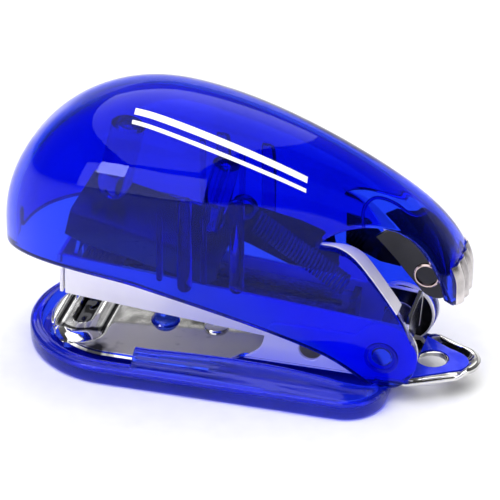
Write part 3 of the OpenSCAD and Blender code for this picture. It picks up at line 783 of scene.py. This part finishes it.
def plate_half(x):
    """Half width of the pressed plate: round nose, straight sides, then the neck by the ears."""
    neck_x = -2.6
    if x < TRAY_NOSE_X:
        return math.sqrt(max(0.0, PLATE_HALF ** 2 - (x - TRAY_NOSE_X) ** 2))
    if x < neck_x:
        return PLATE_HALF
    return PLATE_HALF + (NECK_HALF - PLATE_HALF) * smoothstep((x - neck_x) / 4.6)


def base_plate():
    """The pressed plate with its rear tab, and the two ears that stand on it."""
    verts, front = [], -28.1
    columns = [front + PLATE_HALF * (1 - math.cos(math.pi / 2 * i / 60)) for i in range(1, 61)]
    columns += [TRAY_NOSE_X + 0.35 * i for i in range(1, 62)] + [4.15 + 1.9 * i for i in range(1, 10)]
    rows = 61
    for x in columns:
        half = plate_half(x)
        for j in range(rows):
            v = -math.cos(math.pi * j / (rows - 1)) * 0.35 + (2 * j / (rows - 1) - 1) * 0.65
            y = half * v
            edge = half - abs(y)
            if x < TRAY_NOSE_X:
                edge = PLATE_HALF - math.hypot(x - TRAY_NOSE_X, y)
            verts.append((x, y, pan_height(x, y, edge)))
    pan = thicken(raw("pan", verts, grid_faces(len(columns), rows)), 0.7, up=True)
    # Ears that carry the hinge pin
    ear = (bezier([(0.4, 2.7), (3.6, 3.4), (4.4, 5), (4.6, 7.4)], 12)
           + bezier([(4.6, 7.4), (4.8, 8.8), (5.4, 9.6), (7, 9.6)], 8)[1:]
           + [(17.8, 9.6), (19.4, 11.1)] + arc(HINGE, 4.8, range(110, -60, -10)) + [(23.6, 2.7)])
    holes = [circle(11.2, 5.6, 1.65), circle(*HINGE, PIN_HOLE_R)]
    ears = [upright(sheet("ear", ear, EAR_T, holes), side * EAR_Y) for side in (-1, 1)]
    place("upright_ears", join("upright_ears", ears), SATIN_AND_HIGHLIGHT, "base", "plated_steel", ["hinge_ears"])
    place("pressed_plate", join("pressed_plate", [pan, tab_mesh()]), SHADED_PLATE, "base", "plated_steel",
          ["base_plate"])


def tab_mesh():
    """Rear tab: round hole, flat middle, and a rolled rim round the far side and the tip."""
    hole = TAB_HOLE
    tip_c, tip_r, root_x, neck_x, neck = 30.6, 3.8, 20.6, 25.3, 7.0
    angle = math.atan2(neck, neck_x - tip_c) - math.acos(tip_r / math.hypot(tip_c - neck_x, neck))
    turns = [angle * (2 * i / 40 - 1) for i in range(41)]
    ring = [(root_x, -neck), (neck_x, -neck)]
    ring += [(tip_c + tip_r * math.cos(a), tip_r * math.sin(a)) for a in turns]
    ring += [(neck_x, neck), (root_x, neck)]
    verts, spokes, steps = [], 144, 16

    def reach(a):
        """Distance from the hole's middle to the outline, in direction a."""
        best = 99.0
        dx, dy = math.cos(a), math.sin(a)
        for (x0, y0), (x1, y1) in zip(ring, ring[1:] + ring[:1]):
            ex, ey = x1 - x0, y1 - y0
            cross = dx * ey - dy * ex
            if abs(cross) < 1e-9:
                continue
            t = ((x0 - hole[0]) * ey - (y0 - hole[1]) * ex) / cross
            s = ((x0 - hole[0]) * dy - (y0 - hole[1]) * dx) / cross
            if t > 0 and -1e-6 <= s <= 1 + 1e-6:
                best = min(best, t)
        return best

    for i in range(spokes):
        a = 2 * math.pi * i / spokes
        far = reach(a)
        top, low = [], []
        for k in range(steps + 1):
            t = 1 - (1 - k / steps) ** 1.7
            r = TAB_HOLE_R + (far - TAB_HOLE_R) * t
            x, y = hole[0] + r * math.cos(a), hole[1] + r * math.sin(a)
            edge = far - r
            rim_here = smoothstep((x - 25.2) / 2.5) * smoothstep((y + 3.2) / 3.4)
            rim_here = max(rim_here, smoothstep((x - 31.6) / 1.6))
            rise = 0.8 * rim_here * smoothstep((1.75 - edge) / 0.9)
            roll = 0.3 * (1 - smoothstep(edge / 0.45))
            lip = 0.18 * (1 - smoothstep((r - TAB_HOLE_R) / 0.3))
            z = PLATE_Z + rise - roll - lip
            top.append((x, y, z))
            low.append((x, y, z - PLATE_T + 0.18 + roll + lip - 0.1 * rim_here))
        verts += top + list(reversed(low))
    rows = 2 * (steps + 1)
    return raw("tab", verts, grid_faces(spokes, rows, closed=True) + closing_quads(spokes, rows))


def tab_blue_reflection():
    """Painted reflection of the blue cover: a thin blue film on the flat of the tab, round its hole."""
    ring = [(25.6, -5.6)] + arc((30.2, 0.0), 2.5, range(-62, 63, 6)) + [(25.6, 5.6)]
    mesh = sheet("tab_blue_reflection", ring, 0.14, [circle(*TAB_HOLE, 2.35)], edge=0.04)
    mesh.transform(Matrix.Translation((0, 0, (PLATE_Z + 0.09) * MM)))
    place("tab_blue_reflection", join("tab_blue_reflection", [mesh]), BLUE_REFLECTION, "base", "moulded_blue")


RIVET_XS, STUD_X = (-4.0, 12.0), -11.5


def small_base_pieces():
    """The rivets, the tray's stud with its formed head, and the hinge pin."""
    rivet = [(0.0, 0.3), (0.97, 0.3), (0.97, 3.4), (1.8, 3.4), (1.82, 3.55), (1.7, 3.8),
             (1.25, 3.98), (0.7, 4.0), (0.5, 3.85), (0.0, 3.8)]
    parts = [revolve(rivet, (x, 0, 0), (0, 0, 1)) for x in RIVET_XS]
    build("dome_rivets", *merge(*parts), CHROME, "base", "plated_steel", ["base_rivets"])
    head_z, dome_r, steps = 3.44, 2.22, 8
    dome = [(0.0, 1.4), (1.15, 1.4), (1.15, 3.42), (2.1, head_z)]
    for k in range(steps + 1):
        a = math.radians(18 + 72 * k / steps)
        dome.append((dome_r * math.cos(a) if k < steps else 0.0, head_z - 0.69 + dome_r * math.sin(a)))
    build("plate_stud", *revolve(dome, (STUD_X, 0, 0), (0, 0, 1)), TRAY_BLUE, "base", "moulded_blue")
    pin = [(0.0, -7.0), (1.3, -7.0), (1.5, -6.8), (1.5, 6.8), (1.3, 7.0), (0.0, 7.0)]
    build("turned_pin", *revolve(pin, (HINGE[0], 0, HINGE[1]), (0, 1, 0)), CHROME, "base", "plain_steel",
          ["hinge_pin"])


# ------------------------------------------------------------ magazine
def magazine():
    """The plated channel: two side plates, a floor and a leaning front."""
    side = [(-24.9, 5.0), (23.7, 5.0), (24.7, 6.0), (24.7, 11.6), (-25.4, 11.6)]
    hole = circle(*HINGE, PIN_HOLE_R)
    plates = [upright(sheet("side", side, SHEET_T, [hole], edge=0.1), y, MAGAZINE_TILT)
              for y in (-SIDE_PLATE_Y, SIDE_PLATE_Y)]
    ring = [(-23.2, -4.6), (19.5, -4.6), (19.5, 4.6), (-23.2, 4.6)]
    floor = sheet("floor", ring, SHEET_T, edge=0.1)
    floor.transform(Matrix.Translation((0, 0, 5.3 * MM)))
    front = sheet("front", [(-4.9, 5.1), (4.9, 5.1), (4.9, 11.55), (-4.9, 11.55)], 0.5)
    front.transform(Matrix.Translation((-25.1 * MM, 0, 0)) @ Matrix.Rotation(math.radians(-4), 4, "Y")
                    @ Matrix.Rotation(math.radians(90), 4, "Z") @ Matrix.Rotation(math.radians(90), 4, "X"))
    for mesh in (floor, front):
        mesh.transform(about_pin(MAGAZINE_TILT))
    place("magazine_channel", join("magazine_channel", [*plates, floor, front]), SATIN_AND_HIGHLIGHT, "magazine",
          "plated_steel", ["magazine"])


def back_plate():
    ring = [(-4.3, 6.2), (4.3, 6.2), (4.3, 11.2), (3.6, 12.4), (-3.6, 12.4), (-4.3, 11.2)]
    mesh = sheet("cross_plate", ring, SHEET_T, edge=0.14)
    mesh.transform(Matrix.Translation((24.4 * MM, 0, 0)) @ Matrix.Rotation(math.radians(90), 4, "Z")
                   @ Matrix.Rotation(math.radians(90), 4, "X"))
    mesh.transform(about_pin(MAGAZINE_TILT))
    place("cross_plate", join("cross_plate", [mesh]), BLACK_AND_SHADE, "magazine", "plated_steel",
          ["magazine_back_plate"])


def driver_frame():
    """Upside-down channel in the cover: its lower edges follow lows, its top corners are round."""
    lows = ([(-25.8, 9.2)] + bezier([(-24, 8.8), (-19, 8.2), (-18, 9.0), (-13, 8.6)], 14)
            + [(-5.0, 8.6), (-4.2, 9.2), (-3.4, 10.2)])
    half, top, r = 5.88, 13.28, 0.8

    def section(x):
        low = along(lows, x)
        near = [(-half, low), (-half, low * 0.6 + (top - r) * 0.4),
                (-half, low * 0.2 + (top - r) * 0.8)]
        near += [(-half + r - r * math.cos(math.radians(a)), top - r + r * math.sin(math.radians(a)))
                 for a in range(0, 91, 15)]
        return near + [(-y, z) for y, z in reversed(near)]

    stations = [-25.7 + 0.35 * k for k in range(64)]
    verts = [(x, y, z) for x in stations for y, z in section(x)]
    faces = grid_faces(len(stations), len(section(stations[0])))
    mesh = thicken(raw("frame", verts, faces, COVER_TILT), SHEET_T)
    place("driver_channel", join("driver_channel", [mesh]), DARK_STEEL, "cover", "plain_steel",
          ["driver_frame"])


# ------------------------------------------------------------ wire
def wire(name, points, radius, material, body, slot, stands_for, sides=6):
    """A round wire swept along points, with closed ends."""
    verts = []
    points = [Vector(p) for p in points]
    up = Vector((0, 1, 0))
    for i, p in enumerate(points):
        run = (points[min(i + 1, len(points) - 1)] - points[max(i - 1, 0)]).normalized()
        side = (up - run * up.dot(run))
        side = side.normalized() if side.length > 1e-4 else run.orthogonal().normalized()
        up = side
        other = run.cross(side)
        for j in range(sides):
            a = 2 * math.pi * j / sides
            verts.append(p + radius * (side * math.cos(a) + other * math.sin(a)))
    faces = []
    for i in range(len(points) - 1):
        for j in range(sides):
            k = (j + 1) % sides
            faces.append((i * sides + j, i * sides + k, (i + 1) * sides + k, (i + 1) * sides + j))
    faces.append(tuple(range(sides)))
    faces.append(tuple((len(points) - 1) * sides + j for j in range(sides)))
    return build(name, verts, faces, material, body, slot, stands_for, sharp=70)


def helix(a, b, r0, r1, turns, per_turn=20):
    """Points of a coil from a to b, its radius running from r0 to r1."""
    a, b = Vector(a), Vector(b)
    axis = (b - a).normalized()
    side = Vector((0, 1, 0))
    other = axis.cross(side)
    n = int(turns * per_turn)
    points = []
    for i in range(n + 1):
        t = i / n
        r, w = r0 + (r1 - r0) * t, 2 * math.pi * turns * t
        points.append(a + (b - a) * t + r * (side * math.cos(w) + other * math.sin(w)))
    return points


def shade_web():
    """Black plates along the far wall inside the cover, behind the slanted spring: painted shade where the
    inside looks dark.
    """
    ring = [(-8.2, 16.8), (-1.0, 14.4), (6.0, 11.6), (10.8, 10.2), (12.4, 13.0), (11.5, 17.5),
            (6.5, 19.2), (-1.0, 20.6), (-7.4, 19.6)]
    rear = [(13.4, 17.0), (18.4, 14.8), (21.4, 14.4), (21.0, 16.2), (19.2, 18.8), (16.5, 21.4),
            (13.4, 21.9)]
    shade_webs = [upright(sheet("web", ring, 0.5), 6.45), upright(sheet("web", rear, 0.2, edge=0.06), 5.65)]
    place("shade_web", join("shade_web", shade_webs), BLACK_AND_SHADE, "cover", "plain_steel")


SHADE_SHEET_T, SHADE_SHEET_EDGE = 0.05, 0.01


def shade_liners():
    """Thin black sheets on the inner faces of the ears and of the rear of the magazine: painted shade
    inside the works.
    """
    disc = arc(HINGE, 4.5, range(-50, 111, 8)) + [(19.0, 9.0), (19.0, 4.4)]
    ears = [upright(sheet("liner", disc, SHADE_SHEET_T, [circle(*HINGE, 1.6)], edge=SHADE_SHEET_EDGE), side * 5.03)
            for side in (-1, 1)]
    place("ear_shade_sheets", join("ear_shade_sheets", ears), BLACK_AND_SHADE, "base", "plated_steel")
    rear = [(19.6, 5.8), (23.9, 5.8), (23.9, 11.4), (19.6, 11.4)]
    hole = circle(*HINGE, 2.2)
    plates = [upright(sheet("liner", rear, SHADE_SHEET_T, [hole], edge=SHADE_SHEET_EDGE), y, MAGAZINE_TILT)
              for y in (-4.31, 4.31)]
    place("magazine_shade_sheets", join("magazine_shade_sheets", plates), BLACK_AND_SHADE, "magazine", "plated_steel")


def springs():
    """The slanted, the conical and the pusher's spring, and the hook of the slanted one."""
    lift = helix(LIFT_TOP, LIFT_FOOT, 1.4, 1.4, 27)
    lifting = wire("lift_coil", lift, 0.2, WIRE, None, "spring_wire", ["lifting_spring"])
    seat = tip((CONE_X, 0, CONE_FOOT_Z), MAGAZINE_TILT)
    top = tip((CONE_X, 0, CONE_TOP_Z), MAGAZINE_TILT)
    cone = wire("return_coil", helix(seat, top, 2.6, 1.4, 9, 24), 0.12, WIRE, None, "spring_wire",
                ["return_spring"])
    turns = [200 + 300 * i / 18 for i in range(19)]
    hook = [Vector((x, 0, z)) for x, z in arc((0.1, 24.0), 1.6, turns)]
    wire("hook_wire", hook, 0.4, WIRE, "cover", "spring_wire", ["spring_hook"], sides=10)
    front = tip((ROD_FRONT_X, 0, ROD_Z), MAGAZINE_TILT)
    rear = tip((ROD_REAR_X, 0, ROD_Z), MAGAZINE_TILT)
    push = wire("push_coil", helix(front, rear, 1.2, 1.2, 30, 16), 0.2, WIRE, None, "spring_wire",
                ["pusher_spring"])
    # Each spring is carried by one body at its foot and by the next at its other end
    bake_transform(lifting)
    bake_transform(cone)
    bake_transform(push)


# ------------------------------------------------------------ tail
def tail_end(y, z):
    """Place along X of the rear of the cover's surface at y and z."""
    low, high = HINGE[0], TAIL_X
    for _ in range(24):
        middle = (low + high) / 2
        if near_y(middle, z) > abs(y):
            low = middle
        else:
            high = middle
    return low


BAND_TOP_Z, BAND_HEIGHT, BAND_HALF = 21.4, 5.8, 4.45


def tail_pieces():
    """The dark lining of the tail, the folded band over its end, and the eyelet."""
    outer = bezier([(25.9, 24.6), (28.4, 22.6), (29.5, 19.6), (29.9, 16.4)], 16)
    lip = bezier([(29.9, 16.4), (29.5, 15.3), (27.2, 15.4), (26.2, 16.8)], 10)[1:]
    cheek = ([(19.6, 24.2), (21.4, 25.5), (24.8, 25.3)] + outer + lip
             + [(24.6, 18.6), (22.8, 20.8), (21.0, 22.8)])
    cheeks = [upright(sheet("cheek", cheek, SHEET_T), side * 3.2) for side in (-1, 1)]
    verts, rows = [], 13
    for x, z in outer:
        for j in range(rows):
            v = -1 + j / 6
            verts.append((x - 0.35 - 0.25 * v * v, 3.4 * v, z - 0.12))
    band = thicken(raw("band", verts, grid_faces(len(outer), rows)), 0.5)
    place("tail_lining", join("tail_lining", [band, *cheeks]), BLACK_AND_SHADE, "cover", "plated_steel",
          ["tail_frame"])
    verts, columns, rows = [], 25, 29
    for i in range(columns):
        z = BAND_TOP_Z - BAND_HEIGHT * i / (columns - 1)
        for j in range(rows):
            v = 2 * j / (rows - 1) - 1
            fold = 0.3 * abs(math.sin(math.pi * 2 * (v + 1)))
            verts.append((tail_end(4.4 * v, z) + 0.12 + fold, BAND_HALF * v, z))
    wrap = thicken(raw("wrap", verts, grid_faces(columns, rows)), 0.22)
    place("tail_band", join("tail_band", [wrap]), NICKEL, "cover", "plated_steel")
    ring = [(1.5, -3.75), (1.5, 3.75), (1.56, 3.86), (1.7, 3.88), (1.86, 3.75), (1.84, 3.6), (1.7, 3.5),
            (1.7, -3.5), (1.84, -3.6), (1.86, -3.75), (1.7, -3.88), (1.56, -3.86), (1.5, -3.75)]
    verts, faces = revolve(ring, (EYELET[0], 0, EYELET[1]), (0, 1, 0), RING_SIDES)
    build("rolled_eyelet", verts, faces[:-2], ROSE, "cover", "plated_steel", ["tail_eyelet"])


# ------------------------------------------------------------ kept CAD nodes
def dress(node, material, edge=0.0):
    """Gives a CAD node its material, and bevels its edges by edge mm."""
    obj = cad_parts[node]
    obj.data.materials.clear()
    obj.data.materials.append(material)
    if edge:
        modify(obj, "BEVEL", width=edge * MM, segments=2, limit_method="ANGLE",
               angle_limit=math.radians(40), harden_normals=False)


cover_shell()
cover_details()
imprint()
base_tray()
base_plate()
small_base_pieces()
tab_blue_reflection()
magazine()
back_plate()
driver_frame()
shade_web()
shade_liners()
springs()
tail_pieces()
for node_name, finish, bevel in (
        ("hinge_sleeve", STEEL, 0.1), ("staple_rail", STEEL, 0.0), ("rod_bracket", STEEL, 0.1),
        ("spring_seat", STEEL, 0.1), ("staple_strip", STAPLE, 0.0), ("staple_pusher", COVER_BLUE, 0.0),
        ("pusher_rod", STEEL, 0.0), ("driver_blade", CHROME, 0.0), ("cover_screws", CHROME, 0.12)):
    dress(node_name, finish, bevel)


# ------------------------------------------------------------ studio
def look(obj, target):
    obj.rotation_euler = (Vector(target) - obj.location).to_track_quat("-Z", "Y").to_euler()


def card(name, azimuth, elevation, far, size, radiance):
    """A bright card that is only seen in reflections, turned towards the stapler."""
    a, e = math.radians(azimuth), math.radians(elevation)
    spot = Vector((math.cos(a) * math.cos(e), math.sin(a) * math.cos(e), math.sin(e))) * far
    obj = softbox(name, spot + Vector((0, 0, 0.02)), (0, 0, 0.02), size, 4 * size[0] * size[1] * radiance,
                  diffuse=False)
    obj.visible_transmission = False


def softbox(name, place_at, target, size, watts, glossy=True, diffuse=True):
    """A rectangular lamp at place_at that faces target, hidden from the camera."""
    data = bpy.data.lights.new(name, "AREA")
    data.shape = "RECTANGLE"
    data.size, data.size_y = size
    data.energy = watts
    obj = bpy.data.objects.new(name, data)
    SCENE.collection.objects.link(obj)
    obj.location = place_at
    look(obj, target)
    obj.visible_camera = False
    obj.visible_glossy = glossy
    obj.visible_diffuse = diffuse
    return obj


WORLD_TONES = ((0.0, 0.05), (0.35, 0.08), (0.7, 0.25), (1.0, 0.55))  # from the front to the back
SWEEP_R, SWEEP_BACK, SWEEP_TOP = 0.3, 0.5, 0.34


def studio():
    """A dim room that is lighter behind, a pale paper sweep, three lamps and three cards."""
    world = bpy.data.worlds.new("studio")
    SCENE.world = world
    world.use_nodes = True
    back = world.node_tree.nodes["Background"]
    coord = add(world, "TexCoord")
    parts = add(world, "SeparateXYZ")
    link(world, coord.outputs["Generated"], parts.inputs[0])
    depth = spread(world, parts.outputs["Y"], 0.0, 1.0, -1.0, 1.0)
    tones = [(place_at, (tone, tone, tone * 1.01)) for place_at, tone in WORLD_TONES]
    link(world, ramp(world, depth, tones), back.inputs["Color"])
    back.inputs["Strength"].default_value = 0.6

    profile = [(-1.2, 0.0), (-0.4, 0.0), (0.2, 0.0), (SWEEP_BACK, 0.0)]
    profile += [(SWEEP_BACK + SWEEP_R * math.sin(math.radians(a)),
                 SWEEP_R - SWEEP_R * math.cos(math.radians(a))) for a in range(10, 91, 10)]
    profile.append((SWEEP_BACK + SWEEP_R, SWEEP_TOP))
    columns = (-1.5, -0.5, 0.5, 1.5)
    verts = [(x, y, z) for x in columns for y, z in profile]
    mesh = bpy.data.meshes.new("sweep")
    mesh.from_pydata(verts, [], grid_faces(len(columns), len(profile)))
    mesh.shade_smooth()
    mesh.materials.append(PAPER)
    sweep = bpy.data.objects.new("sweep", mesh)
    SCENE.collection.objects.link(sweep)

    softbox("key", (-0.15, -0.25, 0.7), (0, 0, 0.01), (0.7, 0.7), 5.4, glossy=False)
    softbox("back_fill", (0.1, 0.35, 0.65), (0, 0.15, 0.0), (0.8, 0.5), 3.8, glossy=False)
    softbox("front_fill", (-0.05, -0.55, 0.22), (0, 0, 0.01), (0.6, 0.25), 1.3, glossy=False)
    top = softbox("top_card", (-0.24, -0.38, 0.6), (-0.24, -0.38, 0.0), (0.9, 2.5), 4 * 2.25 * 1.5,
                  diffuse=False)
    top.visible_transmission = False
    card("left_card", -108, 7, 0.9, (0.9, 0.30), 2.5)
    card("left_lamp", -120, 13, 0.8, (0.20, 0.12), 14.0)


CAMERA_LENS, CAMERA_SENSOR = 264.3, 36.0
CAMERA_AZIMUTH, CAMERA_ELEVATION, CAMERA_ROLL = 14.8, 30.85, 0.37  # degrees
CAMERA_FAR = 0.516
CAMERA_TARGET = (0.00084, 0.00022, 0.0169)


def camera():
    """The photograph's view: seen from in front, a little from the hinge end, and from above."""
    data = bpy.data.cameras.new("camera")
    data.lens = CAMERA_LENS
    data.sensor_width = CAMERA_SENSOR
    data.clip_start, data.clip_end = 0.01, 10.0
    obj = bpy.data.objects.new("camera", data)
    SCENE.collection.objects.link(obj)
    az, el = math.radians(CAMERA_AZIMUTH), math.radians(CAMERA_ELEVATION)
    target = Vector(CAMERA_TARGET)
    obj.location = target + CAMERA_FAR * Vector((math.sin(az) * math.cos(el),
                                                 -math.cos(az) * math.cos(el), math.sin(el)))
    look(obj, target)
    obj.rotation_euler.rotate_axis("Z", math.radians(CAMERA_ROLL))
    SCENE.camera = obj


studio()
camera()
SCENE.view_settings.view_transform = "Standard"
